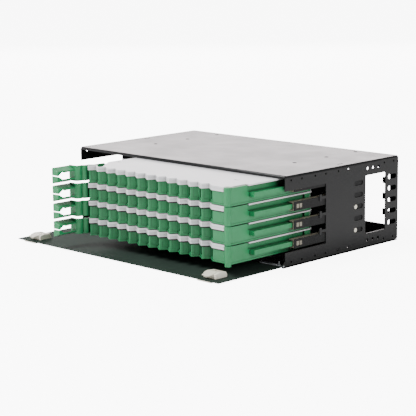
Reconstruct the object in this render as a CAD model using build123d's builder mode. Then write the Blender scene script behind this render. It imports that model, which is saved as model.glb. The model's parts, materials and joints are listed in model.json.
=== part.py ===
from build123d import *
import os

os.makedirs("parts", exist_ok=True)

# A three-unit rack box for fibre patching: four moulded trays slide out of a bent-sheet box,
# and a front door folds down on two sprung pins. Millimetres, +Z up, +X to the right as seen
# from the front, the front towards -Y. The origin is the middle of the box's underside.

# Box of bent steel sheet
box_width = 440.0
box_depth = 260.0
box_height = 132.0
sheet = 1.2
flange = 14.0
bend = 2.0
piece_gap = 0.3
front = -box_depth / 2
rear = box_depth / 2

# Openings in the side panels, measured back from the front face and up from the underside
window_low = 22.0
window_high = box_height - window_low
front_window = 89.0
rear_window_start = 180.5
rear_window_end = 228.5
tab_count = 3
tab_edge = 19.36
tab_pitch = (window_high - window_low - 2 * tab_edge) / (tab_count - 1)
tab_reach = 14.0
tab_bar = 5.0
tab_bar_height = 10.0
tab_stem = 4.0
slot_count = 5
slot_pitch = (window_high - window_low) / slot_count
slot_first = window_low + slot_pitch / 2
slot_length = 20.0
slot_width = 7.4
slot_columns = (164.0, 245.0)
ear_hole = 3.2
ear_hole_depths = (13.0, 36.0, 65.0, 88.5, 117.0, 140.0, 225.0, 248.0)
ear_hole_inset = 7.5
side_bolt = 4.8
side_bolt_depth = 198.5
side_bolt_pitch = 13.0
side_bolt_inset = 11.5
flange_setback = 4.0

# Floor, lid, rear panel and rivets
front_upstand = 8.0
tie_slots = 6
tie_slot = (14.0, 4.0)
tie_row_pitch = 150.0
lid_lip = 4.4
lid_rear_lip = 11.0
lid_hole = 3.2
lid_hole_inset = 70.0
lid_hole_x = box_width / 2 - lid_hole_inset
lid_hole_depths = (100.0, 173.0, 243.0)
lid_slot_inset = 12.0
lid_slot_x = box_width / 2 - lid_slot_inset
lid_slot_depth = 135.0
lid_slot_length = 12.0
lid_slot_width = 3.0
lid_notch = 3.0
lid_screw_inset = 80.0
lid_screw_x = box_width / 2 - lid_screw_inset
lid_screw_xs = (-lid_screw_x, 0.0, lid_screw_x)
screw = 4.0
screw_length = 8.0
screw_head = 7.6
screw_head_height = 2.6
rear_window_inset = 14.0
rear_window_width = 86.0
rear_window_outer = box_width / 2 - rear_window_inset
rear_window_inner = rear_window_outer - rear_window_width
rivet = 3.2
rivet_head = 6.4
rivet_head_height = 1.0
rivet_depths = (24.0, 130.0, 236.0)
plate_rivet_depths = (80.0, 155.0)

# Slide guides and what carries them
guide_depth = 9.0
guide_height = 12.6
guide_wall = 2.0
guide_start = 21.0
guide_end = 150.0
guide_gap = 2.6
snap_length = 12.0
snap_height = 6.6
snap_split = 1.8
snap_start = 26.0
arm_height = 13.2
bracket_start = 95.0
bracket_end = 177.0
bracket_low = 24.0
bracket_top_gap = 8.0
bracket_high = box_height - bracket_top_gap
left_guide_start = 68.0
left_guide_end = 170.0
push_rivet = 6.6
push_rivet_head = 9.4
push_rivet_head_height = 1.4
push_rivet_depth = 157.7
push_rivet_slots = (0, 2)

# Trays
tray_count = 4
tray_low = 20.0
stack_room = 4.0
tray_gap = 1.0
tray_pitch = (box_height - tray_low - stack_room) / tray_count
tray_height = tray_pitch - tray_gap
rail_level = 11.6
rail_height = 6.8
rail_clearance = 0.3
rail_tail = 27.0
rail_start = 38.0
port_count = 12
port_pitch = 21.7
port_depth = 9.5
port_lean = 7.0
nose_flat = 1.2
port_width = 10.5
port_rim = 1.4
port_sill = 4.2
flat_front = 33.6
nose_reach = 96.0
tray_depth = 174.0
floor_thick = 2.0
tray_wall = 2.0
side_wall = 5.0
foot_lip = 0.8
post_diameter = 11.0
post_round = 0.6
rear_corner = 12.0
rear_entry = 24.0
rear_entry_inset = 16.0
panel_recess = 0.5
panel_margin = 1.8
side_step = 3.0
side_step_start = 34.0
side_step_round = 3.0
side_step_end = 154.0
ring_diameter = 66.0
ring_wall = 1.8
ring_height = 12.0
ring_gap = 14.0
ring_spread = 78.0
ring_back = 101.0

# Covers, splice holders and fibre arms
cover_thick = 2.0
skirt_drop = 5.0
skirt_wall = 1.5
skirt_gap = 0.2
cover_cut_side = 44.0
cover_cut_front = 34.0
cover_slot = (10.0, 3.0)
cover_slot_insets = (11.0, 37.0)
cover_slot_back = 52.0
holder_size = (46.0, 62.0)
holder_base = 2.0
holder_rib = 1.6
holder_rib_height = 8.0
holder_slots = 12
arm_wall = 2.0
tongue_length = 20.0
tongue_start = 12.0
arm_offset = (7.0, 6.0)
wave_step = (4.0, 10.0)
wave_bulge = 3.0
clip_width = 13.0
clip_length = 35.0
clip_inset = 1.0
clip_height = tray_height - 2 * clip_inset
clip_mouth = 10.4
clip_wall = 2.0
clip_tip = 9.0
clip_barb = 1.6
clip_slit = 1.6

# Door, its sprung hinge pins and its latches
door_thick = 1.2
door_low = 1.6
door_length = 130.0
hinge_forward = 3.0
hinge_level = 3.2
lug_height = 10.0
barrel_diameter = 5.0
barrel_length = 25.0
barrel_inset = 16.0
pin_diameter = 3.0
pin_play = 0.15
pin_travel = 5.0
collar_diameter = 5.0
collar_width = 2.4
grip_length = 4.0
grip_diameter = 2.0
spring_length = 8.0
spring_wall = 0.35
spring_ridge = 0.8
spring_turns = 5
latch_inset = 30.0
latch_x = box_width / 2 - latch_inset
latch_width = 24.0
latch_length = 22.0
latch_setback = 3.6
latch_height = 8.6
latch_slope = 1.8
latch_wall = 2.0
latch_bezel = 2.0
latch_neck = 16.0
slider_width = 14.0
slider_play = 0.25
slider_travel = 6.0
hook_reach = 8.4
hook_level = 7.9
hook_tip = 1.2
pad_thick = 0.6
pad_width = 10.0
pad_length = 6.0
spring_hole = 3.6
spring_pocket = 8.0
latch_spring_turns = 8

# Places that several pieces share
side_inner = box_width / 2 - sheet
bracket_inner = side_inner - sheet
lid_low = box_height - sheet
lid_screw_z = box_height - lid_rear_lip / 2
rail_zs = [tray_low + rail_level + k * tray_pitch for k in range(tray_count)]
tray_right = bracket_inner - guide_depth - guide_gap
tray_left = tray_right - port_count * port_pitch - flat_front
nose_y = front - nose_reach
valley_y = nose_y + port_depth
tray_rear = nose_y + tray_depth
tray_top = tray_low + tray_height
wall_top = tray_top - cover_thick
port_height = wall_top - skirt_drop - port_rim - port_sill - tray_low
left_web = tray_left - guide_gap - guide_depth
mouth = rail_height + 2 * rail_clearance
rail_out = guide_gap + guide_depth - guide_wall - rail_clearance
door_high = door_low + door_thick
hinge_y = front - hinge_forward
door_end = hinge_y - door_length
door_half = side_inner - 2 * piece_gap


# Writes one finished piece under its own name
def save(piece, name):
    piece.label = name
    export_step(piece, f"parts/{name}.step")


# Adds one T-shaped cable tab to the open sketch: it starts at an edge and points way (1 or -1)
def cable_tab(edge, way, level):
    with Locations((edge + way * tab_reach / 2, level)):
        Rectangle(tab_reach, tab_stem)
    with Locations((edge + way * (tab_reach - tab_bar / 2), level)):
        RectangleRounded(tab_bar, tab_bar_height, sheet)


tab_levels = [box_height / 2 + (k - (tab_count - 1) / 2) * tab_pitch for k in range(tab_count)]

# Floor flanges share these rivet places: side panels, rear panel and left guide plate
flange_end = box_width / 2 - flange
rivet_x = (flange_end + side_inner) / 2
rivet_spots = [(side * rivet_x, front + depth) for side in (-1, 1) for depth in rivet_depths]
rivet_spots += [(x, rear - 2 * sheet - flange / 2) for x in (-lid_hole_x, 0, lid_hole_x)]
rivet_spots += [(left_web - flange / 2, front + depth) for depth in plate_rivet_depths]

# Right side panel: a bent channel with cable windows, tie slots and hole rows
web_middle = box_width / 2 - sheet / 2
with BuildPart() as right_side_panel:
    with BuildSketch(Plane.XZ.offset(-front)):
        with BuildLine():
            FilletPolyline(
                (flange_end, 1.5 * sheet),
                (web_middle, 1.5 * sheet),
                (web_middle, lid_low - sheet / 2),
                (flange_end, lid_low - sheet / 2),
                radius=bend,
            )
        trace(line_width=sheet)
    extrude(amount=-box_depth)
    with BuildSketch():
        with Locations(*rivet_spots):
            Circle(rivet / 2 + pin_play)
    extrude(amount=3 * sheet, mode=Mode.SUBTRACT)
    # The flanges stop short of the box's front and rear faces
    with BuildSketch():
        with GridLocations(2 * side_inner - flange, box_depth - flange_setback, 2, 2):
            Rectangle(flange, flange_setback)
    extrude(amount=box_height, mode=Mode.SUBTRACT)
    with BuildSketch(Plane.YZ.offset(side_inner)):
        with Locations((front + front_window / 2, (window_low + window_high) / 2)):
            Rectangle(front_window, window_high - window_low)
        with Locations((front + (rear_window_start + rear_window_end) / 2, (window_low + window_high) / 2)):
            RectangleRounded(rear_window_end - rear_window_start, window_high - window_low, bend)
        for depth in slot_columns:
            for k in range(slot_count):
                with Locations((front + depth, slot_first + k * slot_pitch)):
                    SlotOverall(slot_length, slot_width)
        for depth in ear_hole_depths:
            with Locations((front + depth, ear_hole_inset), (front + depth, box_height - ear_hole_inset)):
                Circle(ear_hole / 2)
        for step in (-1, 0, 1):
            bolt_y = front + side_bolt_depth + step * side_bolt_pitch
            with Locations((bolt_y, side_bolt_inset), (bolt_y, box_height - side_bolt_inset)):
                Circle(side_bolt / 2)
    extrude(amount=sheet, mode=Mode.SUBTRACT)
    # T-shaped cable tabs that point forward from the window's rear edge
    with BuildSketch(Plane.YZ.offset(side_inner)):
        for level in tab_levels:
            cable_tab(front + front_window, -1, level)
    extrude(amount=sheet)
    # Lug at the lower front corner for the door's hinge pin
    with BuildSketch(Plane.YZ.offset(side_inner)):
        with BuildLine():
            CenterArc((hinge_y, hinge_level), hinge_level, 0, 360)
            Line((front, 0), (front, lug_height))
        make_hull()
        with Locations((hinge_y, hinge_level)):
            Circle(pin_diameter / 2 + pin_play, mode=Mode.SUBTRACT)
    extrude(amount=sheet)
save(right_side_panel.part, "right_side_panel")

with BuildPart() as left_side_panel:
    mirror(right_side_panel.part, about=Plane.YZ)
save(left_side_panel.part, "left_side_panel")

# Floor sheet with a stiffening upstand along its front edge
upstand_half = flange_end - sheet
with BuildPart() as base_pan:
    with BuildSketch():
        Rectangle(box_width, box_depth)
    extrude(amount=sheet)
    with BuildSketch(Plane.YZ):
        with BuildLine():
            FilletPolyline(
                (front + 2 * flange, sheet / 2),
                (front + sheet / 2, sheet / 2),
                (front + sheet / 2, front_upstand),
                radius=bend,
            )
        trace(line_width=sheet)
    extrude(amount=upstand_half, both=True)
    with BuildSketch():
        with Locations(*rivet_spots):
            Circle(rivet / 2 + pin_play)
        with GridLocations(box_width / tie_slots, tie_row_pitch, tie_slots, 2):
            SlotOverall(tie_slot[0], tie_slot[1])
    extrude(amount=sheet, mode=Mode.SUBTRACT)
save(base_pan.part, "base_pan")

# Lid with a lip along the front and one behind, and a notch at each front corner
with BuildPart() as lid:
    with BuildSketch(Plane.YZ):
        with BuildLine():
            FilletPolyline(
                (front + sheet / 2, box_height - lid_lip),
                (front + sheet / 2, box_height - sheet / 2),
                (rear - sheet / 2, box_height - sheet / 2),
                (rear - sheet / 2, box_height - lid_rear_lip),
                radius=bend,
            )
        trace(line_width=sheet)
    extrude(amount=side_inner - piece_gap, both=True)
    with BuildSketch(Plane.XY.offset(lid_low)):
        Rectangle(box_width, box_depth - 2 * lid_notch)
    extrude(amount=sheet)
    with BuildSketch(Plane.XY.offset(lid_low)):
        for side in (-1, 1):
            with Locations(*[(side * lid_hole_x, front + depth) for depth in lid_hole_depths]):
                Circle(lid_hole / 2)
            with Locations((side * lid_slot_x, front + lid_slot_depth)):
                SlotOverall(lid_slot_length, lid_slot_width, rotation=90)
    extrude(amount=sheet, mode=Mode.SUBTRACT)
    with BuildSketch(Plane.XZ.offset(-rear)):
        with Locations(*[(x, lid_screw_z) for x in lid_screw_xs]):
            Circle(screw / 2 + pin_play)
    extrude(amount=2 * sheet, mode=Mode.SUBTRACT)
save(lid.part, "lid")

# Rear panel: a channel with two wide cable windows
panel_half = side_inner - piece_gap
rear_window_x = (rear_window_inner + rear_window_outer) / 2
with BuildPart() as rear_panel:
    with BuildSketch(Plane.YZ):
        with BuildLine():
            FilletPolyline(
                (rear - 2 * sheet - flange, 1.5 * sheet),
                (rear - 1.5 * sheet, 1.5 * sheet),
                (rear - 1.5 * sheet, lid_low - sheet / 2),
                (rear - 2 * sheet - flange, lid_low - sheet / 2),
                radius=bend,
            )
        trace(line_width=sheet)
    extrude(amount=panel_half, both=True)
    with BuildSketch(Plane.XZ.offset(-rear)):
        for side in (-1, 1):
            with Locations((side * rear_window_x, (window_low + window_high) / 2)):
                RectangleRounded(rear_window_outer - rear_window_inner, window_high - window_low, 2 * bend)
        with Locations(*[(x, lid_screw_z) for x in lid_screw_xs]):
            Circle(screw / 2 + pin_play)
    extrude(amount=3 * sheet, mode=Mode.SUBTRACT)
    # T-shaped cable tabs that point inwards from each window's outer edge
    with BuildSketch(Plane.XZ.offset(2 * sheet - rear)):
        for side in (-1, 1):
            for level in tab_levels:
                cable_tab(side * rear_window_outer, -side, level)
    extrude(amount=-sheet)
    # The flanges stop short of the side panels' own flanges
    with BuildSketch(Plane.XY):
        for side in (-1, 1):
            with Locations((side * (flange_end + panel_half) / 2, rear - 2 * sheet - flange / 2)):
                Rectangle(panel_half - flange_end + 2 * sheet, flange)
    extrude(amount=box_height, mode=Mode.SUBTRACT)
    with BuildSketch(Plane.XY):
        with Locations(*rivet_spots):
            Circle(rivet / 2 + pin_play)
    extrude(amount=3 * sheet, mode=Mode.SUBTRACT)
save(rear_panel.part, "rear_panel")

# Blind rivets that hold the flanges to the floor
with BuildPart() as floor_rivets:
    with Locations(*[(x, y, 0) for x, y in rivet_spots]):
        Cylinder(rivet / 2, 2 * sheet, align=(Align.CENTER, Align.CENTER, Align.MIN))
    with Locations(*[(x, y, 2 * sheet) for x, y in rivet_spots]):
        Cylinder(rivet_head / 2, rivet_head_height, align=(Align.CENTER, Align.CENTER, Align.MIN))
    chamfer(floor_rivets.edges().group_by(Axis.Z)[-1], rivet_head_height / 2)
save(floor_rivets.part, "floor_rivets")

# Pan-head screws through the lid's rear lip into the rear panel
with BuildPart() as lid_screws:
    with BuildSketch(Plane.XZ.offset(-rear)):
        with Locations(*[(x, lid_screw_z) for x in lid_screw_xs]):
            Circle(screw_head / 2)
    extrude(amount=-screw_head_height)
    chamfer(lid_screws.edges().group_by(Axis.Y)[-1], screw_head_height / 2)
    with BuildSketch(Plane.XZ.offset(-rear - screw_head_height)):
        with Locations(*[(x, lid_screw_z) for x in lid_screw_xs]):
            RegularPolygon(screw / 2, 6)
    extrude(amount=screw_head_height / 2, mode=Mode.SUBTRACT)
    with BuildSketch(Plane.XZ.offset(-rear)):
        with Locations(*[(x, lid_screw_z) for x in lid_screw_xs]):
            Circle(screw / 2)
    extrude(amount=screw_length)
save(lid_screws.part, "lid_screws")

# Right guide bracket: a plate with one arm for each tray, each arm with a snap window
push_rivet_spots = [(front + push_rivet_depth, slot_first + k * slot_pitch) for k in push_rivet_slots]
with BuildPart() as right_guide_bracket:
    with BuildSketch(Plane.YZ.offset(bracket_inner)):
        with Locations((front + (bracket_start + bracket_end) / 2, (bracket_low + bracket_high) / 2)):
            Rectangle(bracket_end - bracket_start, bracket_high - bracket_low)
        for z in rail_zs:
            with Locations((front + (guide_start + bracket_start) / 2, z)):
                Rectangle(bracket_start - guide_start, arm_height)
        for z in rail_zs:
            with Locations((front + snap_start + snap_length / 2, z)):
                Rectangle(snap_length, snap_height, mode=Mode.SUBTRACT)
        with Locations(*push_rivet_spots):
            Circle(push_rivet / 2 + pin_play, mode=Mode.SUBTRACT)
    extrude(amount=sheet)
save(right_guide_bracket.part, "right_guide_bracket")

# Left guide plate: an upright riveted to the floor, behind the fibre arms' path
with BuildPart() as left_guide_plate:
    with BuildSketch(Plane.XZ.offset(-front - left_guide_start)):
        with BuildLine():
            FilletPolyline(
                (left_web - flange, 1.5 * sheet),
                (left_web - sheet / 2, 1.5 * sheet),
                (left_web - sheet / 2, bracket_high),
                radius=bend,
            )
        trace(line_width=sheet)
    extrude(amount=left_guide_start - left_guide_end)
    with BuildSketch(Plane.YZ.offset(left_web)):
        for z in rail_zs:
            with Locations((front + left_guide_start + snap_start - guide_start + snap_length / 2, z)):
                Rectangle(snap_length, snap_height)
    extrude(amount=-sheet, mode=Mode.SUBTRACT)
    with BuildSketch(Plane.XY):
        with Locations(*rivet_spots):
            Circle(rivet / 2 + pin_play)
    extrude(amount=3 * sheet, mode=Mode.SUBTRACT)
save(left_guide_plate.part, "left_guide_plate")


# One channel-shaped slide guide with a snap that clicks into its window.
# side is 1 where the web is on the right of the mouth, and -1 where it is on the left.
def slide_guide(web_x, side, start, end):
    with BuildPart() as guide:
        with BuildSketch(Plane.XZ.offset(-front - start)):
            with Locations((web_x - side * guide_depth / 2, rail_zs[0])):
                Rectangle(guide_depth, guide_height)
            with Locations((web_x - side * (guide_depth + guide_wall) / 2, rail_zs[0])):
                Rectangle(guide_depth - guide_wall, mouth, mode=Mode.SUBTRACT)
        extrude(amount=start - end)
        ends = guide.edges().filter_by(Axis.X).group_by(Axis.Y)[0]
        chamfer(ends.sort_by(Axis.Z)[1:-1], guide_wall / 2)
        with BuildSketch(Plane.YZ.offset(web_x)):
            with Locations((front + start + snap_start - guide_start + snap_length / 2, rail_zs[0])):
                Rectangle(snap_length - piece_gap, snap_height - piece_gap)
                Rectangle(snap_split, snap_height, mode=Mode.SUBTRACT)
        extrude(amount=side * sheet)
    return guide.part


right_guide = slide_guide(bracket_inner, 1, guide_start, guide_end)
left_guide = slide_guide(left_web, -1, left_guide_start, left_guide_end)
for k in range(tray_count):
    save(Pos(0, 0, k * tray_pitch) * right_guide, f"right_slide_guide_{k + 1}")
    save(Pos(0, 0, k * tray_pitch) * left_guide, f"left_slide_guide_{k + 1}")

# Nylon push rivets that hold the guide bracket in the side panel's slots, headed on the inside
with BuildPart() as push_rivets:
    with BuildSketch(Plane.YZ.offset(bracket_inner)):
        with Locations(*push_rivet_spots):
            Circle(push_rivet / 2)
    extrude(amount=2 * sheet)
    with BuildSketch(Plane.YZ.offset(bracket_inner)):
        with Locations(*push_rivet_spots):
            Circle(push_rivet_head / 2)
    extrude(amount=-push_rivet_head_height)
save(push_rivets.part, "push_rivets")

# Plan of a tray's outer wall: a straight back and sides, and one tooth for each port along the front.
# From each nose a plain wall runs back to a valley, and a port wall comes forward to the next nose.
noses = [tray_left + k * port_pitch for k in range(port_count + 1)]
tooth_points = []
for x in noses[:-1]:
    tooth_points.append((x, nose_y))
    tooth_points.append((x + nose_flat, nose_y))
    tooth_points.append((x + nose_flat + port_lean, valley_y))
tooth_points.append((noses[-1], nose_y))
with BuildSketch() as tray_plan:
    with BuildLine():
        back_points = [(tray_right, nose_y), (tray_right, tray_rear), (tray_left, tray_rear)]
        Polyline(*tooth_points, *back_points, close=True)
    make_face()
    fillet(tray_plan.vertices().group_by(Axis.Y)[-1], rear_corner)

post_x = tray_right - post_diameter / 2
post_y = nose_y + tray_wall / 2
port_z = tray_low + port_sill + port_height / 2
port_run = port_pitch - nose_flat - port_lean
tray_middle = (tray_left + tray_right) / 2
rail_top = rail_zs[0] + rail_height / 2
step_floor = rail_top + piece_gap
ring_y = nose_y + ring_back
with BuildPart() as tray:
    with BuildSketch(Plane.XY.offset(tray_low)):
        add(tray_plan.sketch)
    extrude(amount=wall_top - tray_low)
    # Foot lip round the bottom edge, except along the fibre arm's side
    with BuildSketch(Plane.XY.offset(tray_low)):
        add(tray_plan.sketch)
        offset(amount=foot_lip, kind=Kind.INTERSECTION)
        with Locations((tray_left + box_width / 2, 0)):
            Rectangle(box_width, 2 * box_depth, mode=Mode.INTERSECT)
    extrude(amount=floor_thick)
    with BuildSketch(Plane.XY.offset(tray_low + floor_thick)):
        add(tray_plan.sketch)
        offset(amount=-tray_wall, kind=Kind.INTERSECTION)
        with Locations((tray_right - side_wall / 2, tray_rear - tray_depth / 2)):
            Rectangle(side_wall, 2 * tray_depth, mode=Mode.SUBTRACT)
    extrude(amount=tray_height, mode=Mode.SUBTRACT)
    # Port openings in the walls that face forward and left
    for k in range(port_count):
        port_middle = (noses[k + 1] - port_run / 2, (valley_y + nose_y) / 2, port_z)
        port_out = (-port_depth, -port_run, 0)
        with BuildSketch(Plane(port_middle, x_dir=(port_run, -port_depth, 0), z_dir=port_out)):
            Rectangle(port_width, port_height)
    extrude(amount=1.5 * tray_wall, both=True, mode=Mode.SUBTRACT)
    # Shallow panels in the plain walls between the ports
    for k in range(port_count):
        panel_middle = (noses[k] + nose_flat + port_lean / 2, (valley_y + nose_y) / 2, port_z)
        panel_out = (port_depth, -port_lean, 0)
        with BuildSketch(Plane(panel_middle, x_dir=(port_lean, port_depth, 0), z_dir=panel_out)):
            Rectangle(port_depth - 2 * panel_margin, port_height)
    extrude(amount=-panel_recess, mode=Mode.SUBTRACT)
    # Recess in the right wall above the rail
    with BuildSketch(Plane.YZ.offset(tray_right)):
        with Locations((nose_y + (side_step_start + side_step_end) / 2, step_floor + tray_height / 2)):
            RectangleRounded(side_step_end - side_step_start, tray_height, side_step_round)
    extrude(amount=-side_step, mode=Mode.SUBTRACT)
    # In front of the recess the right wall rises beside the cover
    with BuildSketch(Plane.XY.offset(wall_top)):
        with Locations((tray_right - side_wall / 2, nose_y + side_step_start / 2)):
            Rectangle(side_wall, side_step_start)
    extrude(amount=cover_thick - 1.5 * post_round)
    # Fibre entries in the rear wall, one near each corner
    with BuildSketch(Plane.XY.offset(tray_low + floor_thick)):
        with Locations((tray_middle, tray_rear)):
            with GridLocations(tray_right - tray_left - 2 * rear_entry_inset - rear_entry, 1, 2, 1):
                Rectangle(rear_entry, 3 * tray_wall)
    extrude(amount=tray_height, mode=Mode.SUBTRACT)
    # Rails that run in the guides, with a tail behind on the left
    with BuildSketch(Plane.YZ.offset(tray_right)):
        with Locations((nose_y + (rail_start + tray_depth - rear_corner) / 2, rail_zs[0])):
            Rectangle(tray_depth - rear_corner - rail_start, rail_height)
    extrude(amount=rail_out)
    with BuildSketch(Plane.YZ.offset(tray_left)):
        with Locations((nose_y + (rail_start + tray_depth + rail_tail) / 2, rail_zs[0])):
            Rectangle(tray_depth + rail_tail - rail_start, rail_height)
    extrude(amount=-rail_out)
    # Corner post with a rounded cap
    with BuildSketch(Plane.XY.offset(tray_low)):
        with Locations((post_x, post_y)):
            Circle(post_diameter / 2)
    extrude(amount=tray_height)
    fillet(tray.edges().group_by(Axis.Z)[-1], post_round)
    # Fibre winding rings on the floor, each open towards the splice holder
    with BuildSketch(Plane.XY.offset(tray_low + floor_thick)):
        with Locations((tray_middle - ring_spread, ring_y), (tray_middle + ring_spread, ring_y)):
            Circle(ring_diameter / 2)
            Circle(ring_diameter / 2 - ring_wall, mode=Mode.SUBTRACT)
        with Locations((tray_middle, ring_y)):
            Rectangle(2 * ring_spread, ring_gap, mode=Mode.SUBTRACT)
    extrude(amount=ring_height)

# Cover: a plate over the tray with a cut corner above the fibre arm, and a lip along the front
cover_out = skirt_gap + skirt_wall
corner_cut = [
    (tray_left - 2 * cover_out, nose_y - 4 * cover_out),
    (tray_left + cover_cut_front, nose_y - 4 * cover_out),
    (tray_left - 2 * cover_out, nose_y + cover_cut_side),
]
wall_middle = (tray_right + cover_out - side_wall / 2, nose_y + side_step_start / 2)
lip_right = tray_right - post_diameter
lip_rear = valley_y + side_wall
with BuildSketch() as tray_edge:
    add(tray_plan.sketch)
    offset(amount=skirt_gap, kind=Kind.INTERSECTION)
with BuildSketch() as cover_edge:
    add(tray_plan.sketch)
    offset(amount=cover_out, kind=Kind.INTERSECTION)
with BuildPart() as cover:
    with BuildSketch(Plane.XY.offset(wall_top)):
        add(cover_edge.sketch)
        with Locations((post_x, post_y)):
            Circle(post_diameter / 2 + skirt_gap, mode=Mode.SUBTRACT)
        with Locations(wall_middle):
            clear_wall = side_wall + 2 * cover_out
            Rectangle(clear_wall, side_step_start + 2 * cover_out, mode=Mode.SUBTRACT)
        for x in (tray_left + cover_slot_insets[0], tray_right - cover_slot_insets[1]):
            with Locations((x, nose_y + cover_slot_back)):
                Rectangle(*cover_slot, mode=Mode.SUBTRACT)
        with BuildLine():
            Polyline(*corner_cut, close=True)
        make_face(mode=Mode.SUBTRACT)
    extrude(amount=cover_thick)
    with BuildSketch(Plane.XY.offset(wall_top - skirt_drop)):
        add(cover_edge.sketch)
        add(tray_edge.sketch, mode=Mode.SUBTRACT)
        with Locations(((tray_left + lip_right) / 2, (nose_y + lip_rear) / 2 - cover_out)):
            lip_reach = lip_rear - nose_y + 2 * cover_out
            Rectangle(lip_right - tray_left, lip_reach, mode=Mode.INTERSECT)
    extrude(amount=skirt_drop + cover_thick)

# Splice holder: a base with ribs that grip the splice sleeves
with BuildPart() as splice_holder:
    with BuildSketch(Plane.XY.offset(tray_low + floor_thick)):
        with Locations((tray_middle, ring_y)):
            Rectangle(*holder_size)
    extrude(amount=holder_base)
    with BuildSketch(Plane.XY.offset(tray_low + floor_thick + holder_base)):
        with Locations((tray_middle, ring_y)):
            with GridLocations(1, (holder_size[1] - holder_rib) / holder_slots, 1, holder_slots + 1):
                Rectangle(holder_size[0], holder_rib)
    extrude(amount=holder_rib_height)

# Fibre arm: a tongue on the tray's left wall, a wavy wall and an open clip for the patch cords
tongue_x = tray_left - arm_wall / 2
arm_start = (tongue_x, nose_y + tongue_start + tongue_length)
arm_bend = (tongue_x, nose_y + tongue_start)
wave_start = (arm_bend[0] - arm_offset[0], arm_bend[1] - arm_offset[1])
wave_middle = (wave_start[0] - wave_step[0], wave_start[1] - wave_step[1])
wave_end = (wave_middle[0] - wave_step[0], wave_middle[1] - wave_step[1])
clip_right = wave_end[0] + arm_wall / 2
clip_rear = wave_end[1] + arm_wall / 2
clip_front = clip_rear - clip_length
clip_z = tray_low + tray_height / 2
with BuildPart() as fibre_arm:
    with BuildSketch(Plane.XY.offset(tray_low + floor_thick + piece_gap)):
        with BuildLine():
            Polyline(arm_start, arm_bend, wave_start)
            SagittaArc(wave_start, wave_middle, wave_bulge)
            SagittaArc(wave_middle, wave_end, wave_bulge)
        trace(line_width=arm_wall)
    extrude(amount=tray_height - floor_thick - 2 * piece_gap)
    # The clip flares from a low mouth on the right to its full height on the left
    clip_sides = ((clip_right, clip_mouth), (clip_right - clip_width, clip_height - 2 * clip_wall))
    for x, hole in clip_sides:
        with BuildSketch(Plane.YZ.offset(x)):
            with Locations(((clip_front + clip_rear) / 2, clip_z)):
                RectangleRounded(clip_length, hole + 2 * clip_wall, clip_wall)
    loft()
    for x, hole in clip_sides:
        with BuildSketch(Plane.YZ.offset(x)):
            with BuildLine():
                Polyline(
                    (clip_front + clip_wall / 2, clip_z),
                    (clip_front + clip_tip, clip_z + hole / 2 + clip_barb / 2),
                    (clip_front + clip_tip + 2 * clip_barb, clip_z + hole / 2 - clip_barb / 2),
                    (clip_rear - clip_wall, clip_z + hole / 2),
                    (clip_rear - clip_wall, clip_z - hole / 2),
                    (clip_front + clip_tip, clip_z - hole / 2),
                    close=True,
                )
            make_face()
    loft(mode=Mode.SUBTRACT)
    with BuildSketch(Plane.YZ.offset(clip_right)):
        with Locations((clip_front, clip_z)):
            Rectangle(4 * clip_wall, clip_slit)
    extrude(amount=-clip_width, mode=Mode.SUBTRACT)
    # The arm's wall goes on at full height behind the clip
    with BuildSketch(Plane.XY.offset(tray_low + floor_thick + piece_gap)):
        with Locations((clip_right - clip_width / 2, clip_rear - clip_wall / 2)):
            Rectangle(clip_width, clip_wall)
    extrude(amount=tray_height - floor_thick - 2 * piece_gap)

for k in range(tray_count):
    lift = Pos(0, 0, k * tray_pitch)
    save(lift * tray.part, f"tray_{k + 1}")
    save(lift * cover.part, f"tray_cover_{k + 1}")
    save(lift * splice_holder.part, f"splice_holder_{k + 1}")
    save(lift * fibre_arm.part, f"fibre_arm_{k + 1}")

# Door sheet with a cut-out for each latch and for each sprung pin
barrel_end = door_half - barrel_inset
door_rear = hinge_y - barrel_diameter * 0.4
notch_rear = hinge_y - barrel_diameter / 2 - 2 * pin_play
latch_front = door_end + hook_reach + latch_setback
latch_rear = latch_front + latch_length
neck_y = (latch_front + latch_rear) / 2
with BuildPart() as door_panel:
    with BuildSketch(Plane.XY.offset(door_low)):
        with Locations((0, (door_end + door_rear) / 2)):
            Rectangle(2 * door_half, door_rear - door_end)
        for side in (-1, 1):
            with Locations((side * (barrel_end + door_half) / 2, (notch_rear + front) / 2)):
                Rectangle(door_half - barrel_end, front - notch_rear, mode=Mode.SUBTRACT)
            with Locations((side * latch_x, neck_y)):
                Rectangle(latch_neck + piece_gap, latch_length - latch_wall, mode=Mode.SUBTRACT)
    extrude(amount=door_thick)
    # The sheet's hinge edge is shaped to the barrels that are welded to it
    with BuildSketch(Plane.YZ):
        with Locations((hinge_y, hinge_level)):
            Circle(barrel_diameter / 2)
    extrude(amount=door_half, both=True, mode=Mode.SUBTRACT)
save(door_panel.part, "door_panel")

# Tube that guides a hinge pin, welded to the door
with BuildPart() as right_hinge_barrel:
    with BuildSketch(Plane.YZ.offset(barrel_end - barrel_length)):
        with Locations((hinge_y, hinge_level)):
            Circle(barrel_diameter / 2)
            Circle(pin_diameter / 2 + pin_play, mode=Mode.SUBTRACT)
    extrude(amount=barrel_length)
save(right_hinge_barrel.part, "right_hinge_barrel")

with BuildPart() as left_hinge_barrel:
    mirror(right_hinge_barrel.part, about=Plane.YZ)
save(left_hinge_barrel.part, "left_hinge_barrel")

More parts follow.
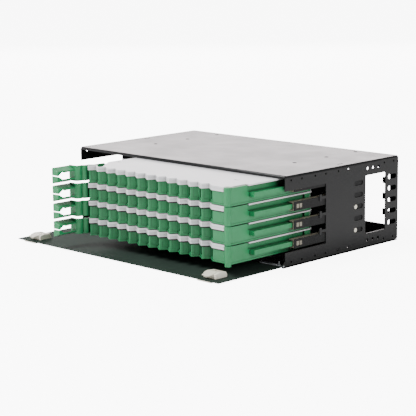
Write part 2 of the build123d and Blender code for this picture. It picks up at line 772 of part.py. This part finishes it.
# Sprung hinge pin: a rod through the barrel and the side panel's lug, with a collar and a finger peg
pin_start = barrel_end - barrel_length - pin_travel / 2
collar_x = barrel_end + spring_length
with BuildPart() as right_hinge_pin:
    with BuildSketch(Plane.YZ.offset(pin_start)):
        with Locations((hinge_y, hinge_level)):
            Circle(pin_diameter / 2)
    extrude(amount=box_width / 2 - pin_start)
    with BuildSketch(Plane.YZ.offset(collar_x)):
        with Locations((hinge_y, hinge_level)):
            Circle(collar_diameter / 2)
    extrude(amount=collar_width)
    with BuildSketch(Plane.XY.offset(hinge_level)):
        with Locations((collar_x + collar_width / 2, hinge_y)):
            Circle(grip_diameter / 2)
    extrude(amount=collar_diameter / 2 + grip_length)
save(right_hinge_pin.part, "right_hinge_pin")

with BuildPart() as left_hinge_pin:
    mirror(right_hinge_pin.part, about=Plane.YZ)
save(left_hinge_pin.part, "left_hinge_pin")


# One compression spring, as a closed sleeve with a ridge for each turn.
# The plane's first axis runs along the spring from its start.
def coil_spring(plane, length, inner, turns):
    pitch = (length - 2 * pin_play) / turns
    outline = [(pin_play, inner), (pin_play, inner + spring_wall)]
    for k in range(turns):
        outline.append((pin_play + (k + 0.5) * pitch, inner + spring_ridge))
        outline.append((pin_play + (k + 1) * pitch, inner + spring_wall))
    with BuildPart() as spring:
        with BuildSketch(plane):
            with BuildLine():
                Polyline(*outline, (length - pin_play, inner), close=True)
            make_face()
        revolve(axis=Axis(plane.origin, plane.x_dir))
    return spring.part


pin_plane = Plane((barrel_end, hinge_y, hinge_level), x_dir=(1, 0, 0), z_dir=(0, -1, 0))
hinge_spring = coil_spring(pin_plane, spring_length, pin_diameter / 2 + pin_play, spring_turns)
save(hinge_spring, "right_hinge_spring")
with BuildPart() as left_hinge_spring:
    mirror(hinge_spring, about=Plane.YZ)
save(left_hinge_spring.part, "left_hinge_spring")

# Latch housing: two cheeks and a back on a base, with a neck through the door and a bezel outside it
bore_y = latch_rear - latch_wall
slider_rear = bore_y - slider_travel - piece_gap
latch_top = door_high + latch_height
channel_low = door_high + latch_wall / 2
pad_front = neck_y - slider_travel / 2 - pad_length / 2
slot_front = pad_front - piece_gap
slot_rear = pad_front + pad_length + slider_travel + piece_gap
with BuildPart() as right_latch_housing:
    with BuildSketch(Plane.YZ.offset(latch_x - latch_width / 2)):
        with BuildLine():
            Polyline(
                (latch_front, door_high),
                (latch_front, latch_top - latch_slope),
                (latch_front + latch_length / 3, latch_top),
                (latch_rear - latch_wall, latch_top - latch_slope / 2),
                (latch_rear, door_high + latch_height / 2),
                (latch_rear, door_high),
                close=True,
            )
        make_face()
    extrude(amount=latch_width)
    with BuildSketch(Plane.XY.offset(door_low)):
        with Locations((latch_x, neck_y)):
            Rectangle(latch_neck, latch_length - latch_wall - piece_gap)
    extrude(amount=door_thick)
    with BuildSketch(Plane.XY):
        with Locations((latch_x, (door_end + latch_rear + latch_bezel) / 2)):
            bezel_length = latch_rear + latch_bezel - door_end
            RectangleRounded(latch_width + 2 * latch_bezel, bezel_length, latch_bezel)
    extrude(amount=door_low)
    with BuildSketch(Plane.XY.offset(channel_low)):
        with Locations((latch_x, (latch_front + bore_y) / 2)):
            Rectangle(slider_width, bore_y - latch_front)
    extrude(amount=latch_height, mode=Mode.SUBTRACT)
    with BuildSketch(Plane.XY):
        with Locations((latch_x, (slot_front + slot_rear) / 2)):
            Rectangle(pad_width + 2 * slider_play, slot_rear - slot_front)
    extrude(amount=channel_low, mode=Mode.SUBTRACT)
save(right_latch_housing.part, "right_latch_housing")

# Latch slider: a wedge whose hook catches behind the lid's front lip, with a finger pad outside
coil_bore = spring_hole / 2
coil_z = (channel_low + hook_level) / 2 + slider_play
slider_floor = channel_low + slider_play
hook_front = latch_front - hook_reach
with BuildPart() as right_latch_slider:
    with BuildSketch(Plane.YZ.offset(latch_x - slider_width / 2 + slider_play)):
        with BuildLine():
            Polyline(
                (slider_rear, slider_floor),
                (slider_rear, latch_top - latch_slope / 2),
                (latch_front + latch_length / 3, latch_top),
                (hook_front, hook_level + hook_tip),
                (hook_front, hook_level),
                (latch_front, hook_level),
                (latch_front, slider_floor),
                close=True,
            )
        make_face()
    extrude(amount=slider_width - 2 * slider_play)
    with BuildSketch(Plane.XY.offset(pad_thick)):
        with Locations((latch_x, pad_front + pad_length / 2)):
            Rectangle(pad_width, pad_length)
    extrude(amount=slider_floor - pad_thick)
    with BuildSketch(Plane.XZ.offset(-slider_rear)):
        with Locations((latch_x, coil_z)):
            Circle(coil_bore)
    extrude(amount=spring_pocket, mode=Mode.SUBTRACT)
save(right_latch_slider.part, "right_latch_slider")

coil_plane = Plane((latch_x, slider_rear - spring_pocket, coil_z), x_dir=(0, 1, 0), z_dir=(1, 0, 0))
coil_length = bore_y - slider_rear + spring_pocket
coil_inner = coil_bore - pin_play - spring_ridge
latch_spring = coil_spring(coil_plane, coil_length, coil_inner, latch_spring_turns)
save(latch_spring, "right_latch_spring")
for source, name in (
    (right_latch_housing.part, "left_latch_housing"),
    (right_latch_slider.part, "left_latch_slider"),
    (latch_spring, "left_latch_spring"),
):
    with BuildPart() as mirrored:
        mirror(source, about=Plane.YZ)
    save(mirrored.part, name)
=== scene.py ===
import json
import math
import bmesh
import bpy
from mathutils import Matrix, Vector


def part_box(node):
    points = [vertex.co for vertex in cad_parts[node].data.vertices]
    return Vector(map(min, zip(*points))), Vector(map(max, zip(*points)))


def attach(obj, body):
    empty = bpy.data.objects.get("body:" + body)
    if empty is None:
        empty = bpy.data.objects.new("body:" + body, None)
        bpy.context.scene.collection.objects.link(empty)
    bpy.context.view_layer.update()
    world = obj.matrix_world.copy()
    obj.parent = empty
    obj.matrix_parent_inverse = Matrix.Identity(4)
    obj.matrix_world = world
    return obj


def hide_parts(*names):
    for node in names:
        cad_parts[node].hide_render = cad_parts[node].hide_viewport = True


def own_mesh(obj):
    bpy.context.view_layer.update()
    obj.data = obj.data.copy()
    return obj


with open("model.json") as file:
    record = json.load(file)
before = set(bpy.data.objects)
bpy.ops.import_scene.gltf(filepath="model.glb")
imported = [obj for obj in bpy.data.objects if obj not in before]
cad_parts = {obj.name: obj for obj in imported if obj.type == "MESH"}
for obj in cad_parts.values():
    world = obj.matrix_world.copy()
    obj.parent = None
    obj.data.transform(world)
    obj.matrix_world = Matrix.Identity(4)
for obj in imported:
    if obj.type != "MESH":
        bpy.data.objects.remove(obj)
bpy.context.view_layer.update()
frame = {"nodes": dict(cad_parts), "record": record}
nodes = frame["nodes"]
print("frame loaded:", len(nodes), "CAD nodes")

mm = 0.001
trays = range(1, 5)  # tray 1 is the lowest


def linearColour(code):  # sRGB hex to linear, with alpha
    parts = [int(code[i:i + 2], 16) / 255 for i in (1, 3, 5)]
    return [p / 12.92 if p <= 0.04045 else ((p + 0.055) / 1.055) ** 2.4 for p in parts] + [1.0]


def addNode(tree, kind, inputs=None, **settings):  # one node with its settings and links
    node = tree.nodes.new(kind)
    for key, value in settings.items():
        setattr(node, key, value)
    for key, value in (inputs or {}).items():
        if isinstance(value, bpy.types.NodeSocket):
            tree.links.new(value, node.inputs[key])
        else:
            node.inputs[key].default_value = value
    return node


def perMm(size):  # noise scale for a feature of that size in millimetres
    return 1 / (size * mm)


# What all the skins share: the span of noise that is used, and the openness below which a nook gets painted
# shade
skin = {"noiseSpan": (0.3, 0.7), "nookSpan": (0.3, 0.8), "insideSpan": (0.15, 0.45),
        "insideMm": 45, "rays": 8}  # a face shut in on all sides within insideMm is inside a tray and gets painted shade


# Moulded or coated skin: a broad drift of colour, painted shade that darkens it in the nooks by ambient
# occlusion, a fine grain in the relief
def skinMaterial(name, look):
    material = bpy.data.materials.new(name)
    material.use_nodes = True
    tree = material.node_tree
    tree.nodes.clear()
    place = addNode(tree, "ShaderNodeTexCoord").outputs["Object"]
    drift = addNode(tree, "ShaderNodeTexNoise", {
        "Vector": place, "Scale": perMm(look["driftMm"]), "Detail": 3.0, "Roughness": 0.55})
    colour = addNode(tree, "ShaderNodeValToRGB", {"Fac": drift.outputs["Fac"]})
    for stop, at, tint in zip(colour.color_ramp.elements, skin["noiseSpan"], ("dark", "light")):
        stop.position = at
        stop.color = linearColour(look[tint])
    grain = addNode(tree, "ShaderNodeTexNoise", {
        "Vector": place, "Scale": perMm(look["grainMm"]), "Detail": 2.0, "Roughness": 0.5})
    # Painted shade: ambient occlusion darkens the base colour in nooks, creases and under overhangs
    paintedNookShade = addNode(tree, "ShaderNodeAmbientOcclusion", {
        "Distance": look["nookMm"] * mm}, samples=skin["rays"])
    shade = addNode(tree, "ShaderNodeMapRange", {
        "Value": paintedNookShade.outputs["AO"], "From Min": skin["nookSpan"][0], "From Max": skin["nookSpan"][1],
        "To Min": look["nookShade"], "To Max": 1.0})
    dim = shade.outputs["Result"]
    # Painted shade: a second, wider ambient occlusion darkens the faces shut in inside a tray to near black
    if "insideShade" in look:
        inside = addNode(tree, "ShaderNodeAmbientOcclusion", {
            "Distance": skin["insideMm"] * mm}, samples=skin["rays"])
        paintedInsideShade = addNode(tree, "ShaderNodeMapRange", {
            "Value": inside.outputs["AO"], "From Min": skin["insideSpan"][0],
            "From Max": skin["insideSpan"][1], "To Min": look["insideShade"], "To Max": 1.0})
        dim = addNode(tree, "ShaderNodeMath", {
            0: shade.outputs["Result"], 1: paintedInsideShade.outputs["Result"]}, operation="MULTIPLY").outputs["Value"]
    tone = addNode(tree, "ShaderNodeVectorMath", {
        0: colour.outputs["Color"], 1: dim}, operation="MULTIPLY")
    gloss = addNode(tree, "ShaderNodeMapRange", {
        "Value": drift.outputs["Fac"], "From Min": skin["noiseSpan"][0], "From Max": skin["noiseSpan"][1],
        "To Min": look["roughness"][0], "To Max": look["roughness"][1]})
    relief = addNode(tree, "ShaderNodeBump", {
        "Height": grain.outputs["Fac"], "Strength": look["relief"], "Distance": look["reliefMm"] * mm})
    shader = addNode(tree, "ShaderNodeBsdfPrincipled", {
        "Base Color": tone.outputs["Vector"], "Roughness": gloss.outputs["Result"],
        "Normal": relief.outputs["Normal"], "IOR": look["ior"], "Metallic": look["metallic"]})
    addNode(tree, "ShaderNodeOutputMaterial", {"Surface": shader.outputs["BSDF"]})
    return material


# Satin black powder coat on bent steel: fine orange peel, dark straight on and bright at a grazing angle
powderCoat = skinMaterial("powderCoatBlack", {
    "dark": "#0a0a0b", "light": "#101012", "driftMm": 55, "grainMm": 1.6,  # real peel is near 0.8 mm
    "roughness": (0.28, 0.36), "relief": 0.12, "reliefMm": 0.08, "ior": 1.42, "metallic": 0.0,
    "nookMm": 6, "nookShade": 0.6})
# The door's coat: black powder coat, duller than the box, with the greenish cast that the trays seem to
# give it in the photo painted into its base colour as painted reflection of the trays and painted fill
# light
doorCoatPaintedReflection = skinMaterial("powderCoatBlackDoorPaintedReflection", {
    "dark": "#2d3832", "light": "#333f39", "driftMm": 55, "grainMm": 1.6,
    "roughness": (0.58, 0.66), "relief": 0.10, "reliefMm": 0.06, "ior": 1.08, "metallic": 0.0,
    "nookMm": 6, "nookShade": 0.6})
# Matt black paint of the guide brackets and lid rivets: flat, with hardly any shine
mattPaint = skinMaterial("mattPaintBlack", {
    "dark": "#0c0c0d", "light": "#121213", "driftMm": 45, "grainMm": 1.2,
    "roughness": (0.62, 0.74), "relief": 0.10, "reliefMm": 0.05, "ior": 1.45, "metallic": 0.0,
    "nookMm": 6, "nookShade": 0.6})
# Green ABS, injection moulded: even colour with a faint flow drift, satin spark-eroded face; painted shade
# darkens it in the port slots, under the lips and inside the tray
greenAbs = skinMaterial("absGreen", {
    "dark": "#23854f", "light": "#2d935b", "driftMm": 40, "grainMm": 1.2,
    "roughness": (0.34, 0.44), "relief": 0.10, "reliefMm": 0.06, "ior": 1.53, "metallic": 0.0,
    "nookMm": 3.5, "nookShade": 0.08, "insideShade": 0.04})
# White ABS of the covers: smoother tool face, a faint drift of tone, and painted shade that reaches 22 mm
# out from nearby parts, as under the lid's edge
whiteAbs = skinMaterial("absWhite", {
    "dark": "#eeeef1", "light": "#f6f6f8", "driftMm": 60, "grainMm": 1.2,
    "roughness": (0.32, 0.42), "relief": 0.08, "reliefMm": 0.05, "ior": 1.53, "metallic": 0.0,
    "nookMm": 22, "nookShade": 0.3})
# Natural nylon: ivory, waxy and slightly uneven
ivoryNylon = skinMaterial("nylonIvory", {
    "dark": "#f0e9d6", "light": "#f9f4e6", "driftMm": 12, "grainMm": 0.9,
    "roughness": (0.38, 0.50), "relief": 0.10, "reliefMm": 0.05, "ior": 1.53, "metallic": 0.0,
    "nookMm": 3, "nookShade": 0.45})
# The guides' nylon: darker and greyer in the photo than the latches'; a copy of the same ivory nylon with
# painted shade in its colour, for guides that sit in the bracket's recessed windows
guideNylonPaintedShade = skinMaterial("nylonIvoryGuidePaintedShade", {
    "dark": "#857f70", "light": "#989282", "driftMm": 12, "grainMm": 0.9,
    "roughness": (0.38, 0.50), "relief": 0.10, "reliefMm": 0.05, "ior": 1.53, "metallic": 0.0,
    "nookMm": 3, "nookShade": 0.3})
# Black ABS of the splice holders, and of the port cups and lip strips that are painted shade: dark with a
# satin face
blackAbs = skinMaterial("absBlack", {
    "dark": "#141415", "light": "#1b1b1c", "driftMm": 20, "grainMm": 1.0,
    "roughness": (0.42, 0.52), "relief": 0.10, "reliefMm": 0.05, "ior": 1.53, "metallic": 0.0,
    "nookMm": 6, "nookShade": 0.6})
# Zinc-plated steel: bright bluish metal with a cloudy passivated film
zincSteel = skinMaterial("zincPlatedSteel", {
    "dark": "#bcc0c4", "light": "#d6d9db", "driftMm": 4, "grainMm": 0.7,
    "roughness": (0.34, 0.46), "relief": 0.08, "reliefMm": 0.03, "ior": 1.5, "metallic": 1.0,
    "nookMm": 2, "nookShade": 0.4})
print("materials made")

# How a CAD node's loose triangles are joined, flattened and softened at their edges
soften = {"weldMm": 0.005, "flatAngle": 0.01, "edgeAngle": 0.7, "segments": 2}
# Each record slot's material and the radius that softens its edges
finishes = {
    "black_powder_coat": {"material": powderCoat, "edgeMm": 0.25},
    "black_matt_paint": {"material": mattPaint, "edgeMm": 0.25},
    "green_abs": {"material": greenAbs, "edgeMm": 0.3},
    "white_abs": {"material": whiteAbs, "edgeMm": 0.3},
    "ivory_nylon": {"material": ivoryNylon, "edgeMm": 0.3},
    "black_abs": {"material": blackAbs, "edgeMm": 0.2},
    "zinc_steel": {"material": zincSteel, "edgeMm": 0.0},
}


def ownFinish(name):  # the few nodes whose look differs from their slot's: painted reflection on the door, painted shade on the guides
    if name == "door_panel":
        return doorCoatPaintedReflection
    if "slide_guide" in name:
        return guideNylonPaintedShade
    return None


slotOf = {row["node"]: row["material_slot"] for row in frame["record"]["subparts"]}
for name, obj in nodes.items():
    finish = finishes[slotOf[name]]
    obj.data.materials.clear()
    obj.data.materials.append(ownFinish(name) or finish["material"])
    if finish["edgeMm"]:
        weld = obj.modifiers.new("weld", "WELD")
        weld.merge_threshold = soften["weldMm"] * mm
        flat = obj.modifiers.new("flat", "DECIMATE")
        flat.decimate_type = "DISSOLVE"
        flat.angle_limit = soften["flatAngle"]
        edge = obj.modifiers.new("edge", "BEVEL")
        edge.width = finish["edgeMm"] * mm
        edge.segments = soften["segments"]
        edge.limit_method = "ANGLE"
        edge.angle_limit = soften["edgeAngle"]
        edge.use_clamp_overlap = True
print("finishes set on the CAD nodes")


# A new piece of the object: its mesh, finish and the body that carries it
def addPiece(name, mesh, slot, body):
    data = bpy.data.meshes.new(name)
    mesh.to_mesh(data)
    mesh.free()
    piece = bpy.data.objects.new(name, data)
    bpy.context.scene.collection.objects.link(piece)
    data.materials.append(finishes[slot]["material"])
    data.shade_smooth()
    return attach(piece, body)


# Coiled wire springs in place of the plain sleeves: axis 0 is x and 1 is y, still is the end that stays
springs = {
    "right_hinge_spring": {
        "axis": 0, "joint": "right_pin_slide", "turns": 5, "wireMm": 0.7, "still": "low"},
    "left_hinge_spring": {
        "axis": 0, "joint": "left_pin_slide", "turns": 5, "wireMm": 0.7, "still": "high"},
    "right_latch_spring": {
        "axis": 1, "joint": "right_catch_slide", "turns": 8, "wireMm": 0.5, "still": "high"},
    "left_latch_spring": {
        "axis": 1, "joint": "left_catch_slide", "turns": 8, "wireMm": 0.5, "still": "high"},
}
coilSteps = 20  # segments in one turn
wireSides = 8
for node, spring in springs.items():
    low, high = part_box(node)
    axis = Vector((1, 0, 0)) if spring["axis"] == 0 else Vector((0, 1, 0))
    wire = spring["wireMm"] * mm
    length = high[spring["axis"]] - low[spring["axis"]]
    radius = (high.z - low.z - wire) / 2
    centre = (low + high) / 2
    start = centre - axis * (length - wire) / 2
    coil = bmesh.new()
    ring = bmesh.ops.create_circle(coil, segments=wireSides, radius=wire / 2)["verts"]
    turn = axis.cross(Vector((0, 0, 1))).to_track_quat("Z", "Y").to_matrix()
    bmesh.ops.rotate(coil, verts=ring, cent=(0, 0, 0), matrix=turn)
    bmesh.ops.translate(coil, verts=ring, vec=start + Vector((0, 0, radius)))
    steps = coilSteps * spring["turns"]
    bmesh.ops.spin(coil, geom=coil.verts[:] + coil.edges[:], cent=start, axis=axis,
                   dvec=axis * (length - wire) / steps, angle=2 * math.pi * spring["turns"], steps=steps)
    bmesh.ops.holes_fill(coil, edges=[e for e in coil.edges if e.is_boundary], sides=wireSides)
    bmesh.ops.recalc_face_normals(coil, faces=coil.faces)
    piece = addPiece(node.replace("_spring", "_coil"), coil, "zinc_steel", "door")
    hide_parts(node)
    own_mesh(piece)
print("springs coiled:", len(springs))

# The front line of a tray: 12 teeth, each with a plain wall back to a valley and a port wall forward again
front = {"teeth": 12, "pitchMm": 21.7, "depthMm": 9.5, "leanMm": 7.0, "noseMm": 1.2, "lipOutMm": 1.7,
         "flatMm": 22.0}

# Round corner post that stands proud of each tray's front corner, with a foot under the lowest
post = {"diameterMm": 9.2, "proudXMm": 1.8, "proudYMm": 7.2, "capMm": 0.7, "capSteps": 3, "footMm": 3.2,
        "overMm": 0.45, "dimpleMm": 1.4, "dimpleDeepMm": 0.35, "sides": 32,
        "cornerMm": 4.5}  # how far the tray's own rounded corner stands in front of the teeth
for k in trays:
    low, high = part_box(f"tray_{k}")
    radius = post["diameterMm"] / 2 * mm
    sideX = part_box(f"tray_cover_{k}")[1].x - front["lipOutMm"] * mm
    noseY = low.y + post["cornerMm"] * mm
    at = Vector((sideX + post["proudXMm"] * mm - radius, noseY - post["proudYMm"] * mm + radius, 0))
    foot = low.z - (post["footMm"] * mm if k == 1 else 0)
    cap = high.z + post["overMm"] * mm
    column = bmesh.new()
    bmesh.ops.create_cone(column, cap_ends=True, segments=post["sides"], radius1=radius, radius2=radius,
                          depth=cap - foot)
    rims = [e for e in column.edges if any(len(f.verts) > 4 for f in e.link_faces)]
    bmesh.ops.bevel(column, geom=rims, offset=post["capMm"] * mm, affect="EDGES",
                    segments=post["capSteps"], profile=0.5, material=-1)
    crown = [f for f in column.faces if f.normal.z > 0.99]  # the top face alone
    bmesh.ops.inset_region(column, faces=crown, thickness=post["dimpleMm"] * mm)
    bmesh.ops.inset_region(column, faces=crown, thickness=post["dimpleDeepMm"] * mm,
                           depth=-post["dimpleDeepMm"] * mm)
    bmesh.ops.translate(column, verts=column.verts, vec=at + Vector((0, 0, (cap + foot) / 2)))
    addPiece(f"corner_post_{k}", column, "green_abs", f"tray_{k}")
print("corner posts made")


def frontLine(k):
    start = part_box(f"fibre_arm_{k}")[1].x
    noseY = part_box(f"tray_cover_{k}")[0].y + front["lipOutMm"] * mm
    points = []
    for j in range(front["teeth"]):
        x = start + j * front["pitchMm"] * mm
        points.append(Vector((x, noseY)))
        points.append(Vector((x + front["noseMm"] * mm, noseY)))
        points.append(Vector((x + (front["noseMm"] + front["leanMm"]) * mm, noseY + front["depthMm"] * mm)))
    last = start + front["teeth"] * front["pitchMm"] * mm
    points.append(Vector((last, noseY)))
    points.append(Vector((last + front["flatMm"] * mm, noseY)))
    return points


def outsetLine(points, gap):  # the open line moved towards -y by gap, with sharp corners
    moved = []
    for i, point in enumerate(points):
        before = (point - points[i - 1]).normalized() if i else None
        after = (points[i + 1] - point).normalized() if i + 1 < len(points) else None
        sides = [Vector((way.y, -way.x)) for way in (before, after) if way is not None]
        middle = sum(sides, Vector((0, 0))).normalized()
        moved.append(point + middle * gap / middle.dot(sides[0]))
    return moved


def frontStrip(points, lowZ, tall, thick):  # an upright strip whose outer face follows the line
    strip = bmesh.new()
    corners = [strip.verts.new((at.x, at.y, lowZ)) for at in points]
    for first, second in zip(corners, corners[1:]):
        strip.edges.new((first, second))
    raised = bmesh.ops.extrude_edge_only(strip, edges=strip.edges[:])["geom"]
    upper = [v for v in raised if isinstance(v, bmesh.types.BMVert)]
    bmesh.ops.translate(strip, verts=upper, vec=(0, 0, tall))
    bmesh.ops.recalc_face_normals(strip, faces=strip.faces)
    if strip.faces[:][0].normal.y > 0:
        bmesh.ops.reverse_faces(strip, faces=strip.faces)
    bmesh.ops.solidify(strip, geom=strip.faces[:], thickness=thick)
    bmesh.ops.recalc_face_normals(strip, faces=strip.faces)
    return strip


# Fine bead along each cover's front lip, and a black strip under three of them that is painted shade: it
# stands in for the shadow gap below the lip
bead = {"standMm": 0.4, "tallMm": 0.8, "belowTopMm": 3.6, "sunkMm": 0.5}
lipShadowStrip = {"standMm": 0.5, "tallMm": 1.9, "sunkMm": 0.4, "trays": (1, 2, 3)}
for k in trays:
    coverLow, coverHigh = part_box(f"tray_cover_{k}")
    line = outsetLine(frontLine(k), (front["lipOutMm"] + bead["standMm"]) * mm)
    strip = frontStrip(line, coverHigh.z - bead["belowTopMm"] * mm, bead["tallMm"] * mm,
                       (bead["standMm"] + bead["sunkMm"]) * mm)
    addPiece(f"lip_bead_{k}", strip, "white_abs", f"tray_{k}").data.shade_flat()
    # Painted shade: a black strip where the lip's shadow gap falls
    if k in lipShadowStrip["trays"]:
        line = outsetLine(frontLine(k), lipShadowStrip["standMm"] * mm)
        strip = frontStrip(line, coverLow.z - lipShadowStrip["tallMm"] * mm, lipShadowStrip["tallMm"] * mm,
                           (lipShadowStrip["standMm"] + lipShadowStrip["sunkMm"]) * mm)
        addPiece(f"lip_shadow_strip_{k}", strip, "black_abs", f"tray_{k}").data.shade_flat()
print("lip beads and cover seals made")

# Black cup that lines each port, open at the front: painted shade, a dark piece that stands in for the
# shade inside the port
portShadeCup = {"widthMm": 10.6, "sillMm": 4.15, "rimMm": 1.35, "backMm": 0.4, "deepMm": 3.5, "wallMm": 0.35}
for k in trays:
    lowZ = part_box(f"tray_{k}")[0].z + portShadeCup["sillMm"] * mm
    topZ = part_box(f"tray_cover_{k}")[0].z - portShadeCup["rimMm"] * mm
    line = frontLine(k)
    frames = bmesh.new()
    for j in range(front["teeth"]):
        valley = line[3 * j + 2]
        nose = line[3 * j + 3]
        along = (nose - valley).normalized()
        inward = Vector((-along.y, along.x))
        cup = bmesh.new()
        bmesh.ops.create_cube(cup, size=1)
        size = (portShadeCup["widthMm"] * mm, portShadeCup["deepMm"] * mm, topZ - lowZ)
        bmesh.ops.scale(cup, verts=cup.verts, vec=size)
        cup.normal_update()
        mouth = [f for f in cup.faces if f.normal.y < -0.9]  # the front face alone
        bmesh.ops.inset_region(cup, faces=mouth, thickness=portShadeCup["wallMm"] * mm)
        hollow = (portShadeCup["deepMm"] - portShadeCup["wallMm"]) * mm
        bmesh.ops.translate(cup, verts=mouth[0].verts[:], vec=(0, hollow, 0))
        turn = Matrix(((along.x, inward.x, 0), (along.y, inward.y, 0), (0, 0, 1)))
        bmesh.ops.rotate(cup, verts=cup.verts, cent=(0, 0, 0), matrix=turn)
        at = (valley + nose) / 2 + inward * (portShadeCup["backMm"] + portShadeCup["deepMm"] / 2) * mm
        bmesh.ops.translate(cup, verts=cup.verts, vec=(at.x, at.y, (lowZ + topZ) / 2))
        one = bpy.data.meshes.new("cup")
        cup.to_mesh(one)
        cup.free()
        frames.from_mesh(one)
        bpy.data.meshes.remove(one)
    addPiece(f"port_shade_cups_{k}", frames, "black_abs", f"tray_{k}").data.shade_flat()
print("port bezels made")

# Flat matt rivet heads that fill the lid's six small holes; crown and rim are shares of the head
lidRivet = {"acrossMm": 150.0, "alongMm": (-30.0, 43.0, 113.0), "headMm": 6.4, "tallMm": 0.4,
            "crown": 0.7, "rim": 0.3, "shankMm": 3.0, "reachMm": 2.2, "steps": 24, "mergeMm": 0.001}
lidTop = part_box("lid")[1].z
head = lidRivet["headMm"] / 2
shank = lidRivet["shankMm"] / 2
tall = lidRivet["tallMm"]
outline = [(0, tall), (lidRivet["crown"] * head, tall), (head, lidRivet["rim"] * tall), (head, 0),
           (shank, 0), (shank, -lidRivet["reachMm"]), (0, -lidRivet["reachMm"])]
rivets = bmesh.new()
for side in (-1, 1):
    for along in lidRivet["alongMm"]:
        at = Vector((side * lidRivet["acrossMm"] * mm, along * mm, lidTop))
        corners = [rivets.verts.new(at + Vector((r * mm, 0, z * mm))) for r, z in outline]
        edges = [rivets.edges.new(pair) for pair in zip(corners, corners[1:])]
        bmesh.ops.spin(rivets, geom=corners + edges, cent=at, axis=(0, 0, 1), angle=2 * math.pi,
                       steps=lidRivet["steps"], use_merge=True)
bmesh.ops.remove_doubles(rivets, verts=rivets.verts, dist=lidRivet["mergeMm"] * mm)
bmesh.ops.recalc_face_normals(rivets, faces=rivets.faces)
addPiece("lid_rivets", rivets, "black_matt_paint", "chassis").data.shade_flat()
print("lid rivets made")

# Plain pale floor, which the camera sees as white paper
floorLook = {"side": 60.0, "level": -0.0002, "colour": "#fbfbfb", "roughness": 0.9, "shine": 0.1,
             "glow": 8.0, "glowColour": "#ffffff"}
floorMesh = bmesh.new()
bmesh.ops.create_grid(floorMesh, x_segments=1, y_segments=1, size=floorLook["side"] / 2)
bmesh.ops.translate(floorMesh, verts=floorMesh.verts, vec=(0, 0, floorLook["level"]))
floorData = bpy.data.meshes.new("floor")
floorMesh.to_mesh(floorData)
floorMesh.free()
floor = bpy.data.objects.new("floor", floorData)
bpy.context.scene.collection.objects.link(floor)
paper = bpy.data.materials.new("studioPaper")
paper.use_nodes = True
sheet = paper.node_tree.nodes["Principled BSDF"].inputs
sheet["Base Color"].default_value = linearColour(floorLook["colour"])
sheet["Roughness"].default_value = floorLook["roughness"]
sheet["Specular IOR Level"].default_value = floorLook["shine"]
sheet["Emission Color"].default_value = linearColour(floorLook["glowColour"])
seen = addNode(paper.node_tree, "ShaderNodeLightPath").outputs["Is Camera Ray"]
glow = addNode(paper.node_tree, "ShaderNodeMapRange", {
    "Value": seen, "To Min": 0.0, "To Max": floorLook["glow"]})
paper.node_tree.links.new(glow.outputs["Result"], sheet["Emission Strength"])
floorData.materials.append(paper)

# Soft studio light: a white room, which the camera sees brighter, and three large panels
room = {"colour": "#ffffff", "strength": 0.56, "glow": 8.0}
world = bpy.data.worlds.new("studio")
bpy.context.scene.world = world
world.use_nodes = True
backdrop = world.node_tree.nodes["Background"].inputs
backdrop["Color"].default_value = linearColour(room["colour"])
seen = addNode(world.node_tree, "ShaderNodeLightPath").outputs["Is Camera Ray"]
glow = addNode(world.node_tree, "ShaderNodeMapRange", {
    "Value": seen, "To Min": room["strength"], "To Max": room["glow"]})
world.node_tree.links.new(glow.outputs["Result"], backdrop["Strength"])
lamps = {
    "backPanel": {"at": (-2.6, 2.7, 1.3), "aim": (0, 0, 0.05), "size": (3.2, 1.6), "watts": 84,
                  "colour": "#fff7f8"},
    "keyPanel": {"at": (-0.9, -2.1, 2.9), "aim": (0, -0.1, 0.05), "size": (1.3, 1.3), "watts": 145,
                 "colour": "#ffffff"},
    "rightPanel": {"at": (3.0, -0.1, 1.3), "aim": (0, -0.1, 0.05), "size": (1.6, 1.6), "watts": 34,
                   "colour": "#ffffff"},
}
for name, lamp in lamps.items():
    light = bpy.data.lights.new(name, "AREA")
    light.shape = "RECTANGLE"
    light.size, light.size_y = lamp["size"]
    light.energy = lamp["watts"]
    light.color = linearColour(lamp["colour"])[:3]
    lampObj = bpy.data.objects.new(name, light)
    lampObj.location = lamp["at"]
    beam = Vector(lamp["aim"]) - Vector(lamp["at"])
    lampObj.rotation_euler = beam.to_track_quat("-Z", "Y").to_euler()
    bpy.context.scene.collection.objects.link(lampObj)
print("floor and lights set")

# Camera at the photograph's angle
view = {"at": (1.50104, -1.57227, 0.45662), "forward": (-0.69234, 0.69676, -0.18787),
        "roll": -0.01132, "lens": 121.2, "sensor": 36}
forward = Vector(view["forward"]).normalized()
levelRight = forward.cross(Vector((0, 0, 1))).normalized()
right = Matrix.Rotation(-view["roll"], 3, forward) @ levelRight
up = right.cross(forward)
camData = bpy.data.cameras.new("photoCamera")
camData.sensor_width = view["sensor"]
camData.lens = view["lens"]
camera = bpy.data.objects.new("photoCamera", camData)
camera.matrix_world = Matrix((
    (right.x, up.x, -forward.x, view["at"][0]),
    (right.y, up.y, -forward.y, view["at"][1]),
    (right.z, up.z, -forward.z, view["at"][2]),
    (0, 0, 0, 1)))
bpy.context.scene.collection.objects.link(camera)
bpy.context.scene.camera = camera
print("camera set")
